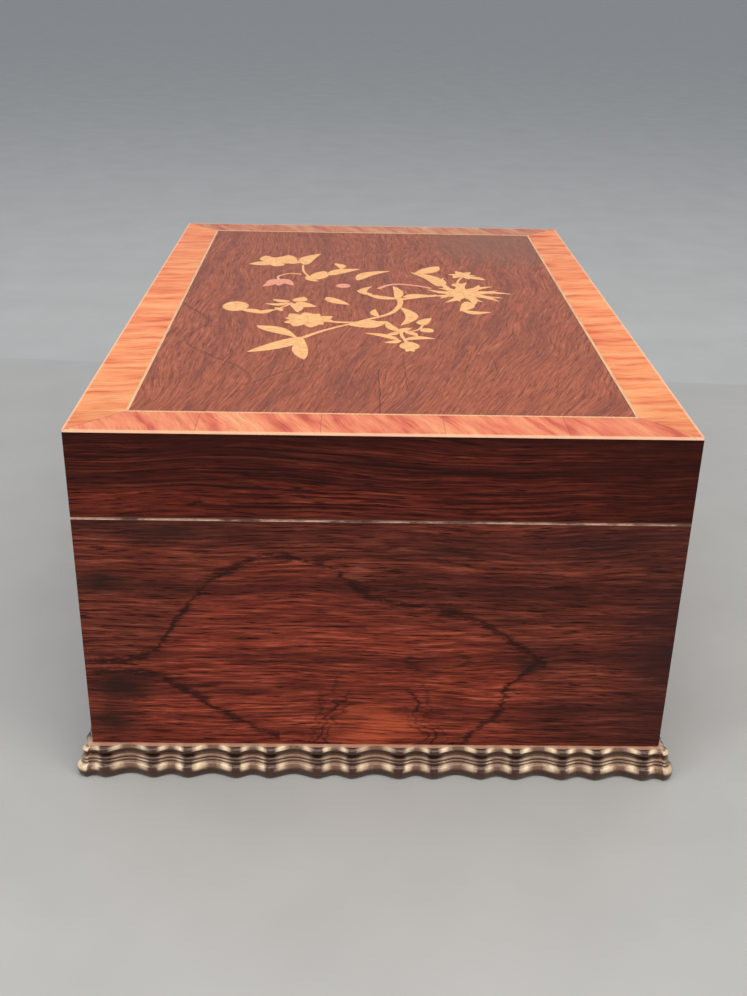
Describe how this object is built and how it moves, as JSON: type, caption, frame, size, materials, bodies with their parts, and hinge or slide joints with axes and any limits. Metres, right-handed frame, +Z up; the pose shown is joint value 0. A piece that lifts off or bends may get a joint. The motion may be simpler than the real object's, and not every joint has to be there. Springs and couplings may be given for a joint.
{
  "type": "cylinder music box",
  "caption": "Lever-wound cylinder music box in a rosewood-veneered case with an inlaid hinged lid, inner glass lid, rippled plinth and a working comb movement.",
  "frame": {"origin": "middle of the underside of the base, on the surface it stands on", "axes": "+X along the case to its right-hand end as the keyhole is faced, +Y to the hinged back, +Z up"},
  "size_m": [0.332, 0.222, 0.136],
  "materials": {
    "rosewood": "french polished, wild dark figure",
    "rippled_rosewood": "very glossy dark polish",
    "field_rosewood": "purple-brown veneer, waxed",
    "tulipwood": "salmon-orange veneer, waxed",
    "boxwood": "pale inlay, waxed",
    "pine": "plain planed softwood",
    "stained_wood": "dark stained, satin",
    "brass": "lacquered brass",
    "steel": "polished steel",
    "blued_steel": "heat blued steel",
    "spring_steel": "oiled spring steel",
    "glass": "clear plate glass",
    "card": "aged card with a printed border",
    "cement": "resin cement"
  },
  "bodies": {
    "case": {"base_board": "pine", "ripple_plinth": "rippled_rosewood", "front_wall": "rosewood", "back_wall": "rosewood", "left_wall": "rosewood", "right_wall": "rosewood", "case_edging": "boxwood", "lever_partition": "stained_wood", "control_partition": "stained_wood", "glass_ledge": "stained_wood", "glass_pins": "brass", "movement_screws": "steel", "bedplate_feet": "brass", "bedplate": "brass", "barrel_bridge": "brass", "centre_bridge": "brass", "end_bridge": "brass", "bridge_screws": "blued_steel", "comb_base": "brass", "comb": "steel", "comb_screws": "blued_steel", "click_spring": "blued_steel", "governor_frame": "brass", "control_pivots": "blued_steel", "case_lock": "brass", "escutcheon": "brass", "case_hinge_leaves": "brass"},
    "lid": {"lid_panel": "pine", "lid_frame": "rosewood", "crossbanding": "tulipwood", "lid_stringing": "boxwood", "field_veneer": "field_rosewood", "marquetry_spray": "boxwood", "lid_edging": "boxwood", "tune_card": "card", "card_tacks": "brass", "lock_loops": "brass", "lid_hinge_leaves": "brass"},
    "glass_lid": {"glass_frame": "stained_wood", "glass_pane": "glass", "glass_pull": "brass"},
    "bolt": {"lock_bolt": "brass"},
    "lever": {"winding_lever": "brass", "lever_grip": "brass"},
    "arbor": {"barrel_arbor": "steel", "ratchet_wheel": "steel"},
    "pawl": {"click": "steel"},
    "barrel": {"spring_barrel": "brass", "barrel_cover": "brass", "great_wheel": "brass", "mainspring": "spring_steel"},
    "cylinder_shaft": {"cylinder_arbor": "steel", "cylinder_wheel": "brass"},
    "drum": {"cylinder_drum": "brass", "cylinder_filling": "cement"},
    "snail": {"snail_cam": "steel"},
    "first": {"first_wheel": "brass"},
    "second": {"second_wheel": "brass"},
    "air_brake": {"fly": "steel"},
    "start": {"start_lever": "brass"},
    "change": {"change_lever": "brass"}
  },
  "joints": [
    {"name": "lid_hinge", "type": "hinge", "parent": "case", "child": "lid", "pos_m": [0, 0.1065, 0.10415], "axis": [-1, 0, 0], "range_deg": [0, 95]},
    {"name": "glass_hinge", "type": "hinge", "parent": "case", "child": "glass_lid", "pos_m": [0, 0.084, 0.092], "axis": [-1, 0, 0], "range_deg": [0, 86]},
    {"name": "bolt_slide", "type": "slide", "parent": "case", "child": "bolt", "axis": [1, 0, 0], "range_m": [0, 0.004]},
    {"name": "lever_swing", "type": "hinge", "parent": "case", "child": "lever", "pos_m": [-0.129, 0.034, 0.056], "axis": [-1, 0, 0], "range_deg": [0, 85]},
    {"name": "arbor_turn", "type": "hinge", "parent": "case", "child": "arbor", "pos_m": [-0.1, 0.034, 0.056], "axis": [1, 0, 0], "continuous": true},
    {"name": "click_lift", "type": "hinge", "parent": "case", "child": "pawl", "pos_m": [-0.105, 0.04292, 0.07278], "axis": [-1, 0, 0], "range_deg": [0, 8], "stiffness_Nm_per_rad": 0.01, "springref_deg": -11.46},
    {"name": "cylinder_spin", "type": "hinge", "parent": "case", "child": "cylinder_shaft", "pos_m": [0, 0.004, 0.056], "axis": [1, 0, 0], "continuous": true},
    {"name": "barrel_spin", "type": "hinge", "parent": "case", "child": "barrel", "pos_m": [-0.08, 0.034, 0.056], "axis": [1, 0, 0], "continuous": true},
    {"name": "first_spin", "type": "hinge", "parent": "case", "child": "first", "pos_m": [0.095, 0.02937, 0.04677], "axis": [1, 0, 0], "continuous": true},
    {"name": "second_spin", "type": "hinge", "parent": "case", "child": "second", "pos_m": [0.1, 0.0395, 0.05883], "axis": [1, 0, 0], "continuous": true},
    {"name": "fly_spin", "type": "hinge", "parent": "case", "child": "air_brake", "pos_m": [0.1008, 0.0472, 0.06], "axis": [0, 0, 1], "continuous": true},
    {"name": "snail_turn", "type": "hinge", "parent": "cylinder_shaft", "child": "snail", "pos_m": [0.0895, 0.004, 0.068], "axis": [0, 0, 1], "range_deg": [0, 300]},
    {"name": "tune_shift", "type": "slide", "parent": "cylinder_shaft", "child": "drum", "axis": [-1, 0, 0], "range_m": [0, 0.002]},
    {"name": "start_swing", "type": "hinge", "parent": "case", "child": "start", "pos_m": [0.1085, 0.01917, 0.075], "axis": [0, 0, 1], "range_deg": [0, 9]},
    {"name": "change_swing", "type": "hinge", "parent": "case", "child": "change", "pos_m": [0.1085, -0.034, 0.056], "axis": [0, 0, 1], "range_deg": [0, 9]}
  ],
  "couplings": [
    {"joint": "glass_hinge", "follows": "lid_hinge", "ratio": 0.9},
    {"joint": "barrel_spin", "follows": "cylinder_spin", "ratio": -0.25},
    {"joint": "first_spin", "follows": "cylinder_spin", "ratio": -8},
    {"joint": "second_spin", "follows": "cylinder_spin", "ratio": 48},
    {"joint": "fly_spin", "follows": "cylinder_spin", "ratio": -1152},
    {"joint": "snail_turn", "follows": "tune_shift", "rad_per_m": 2618}
  ]
}
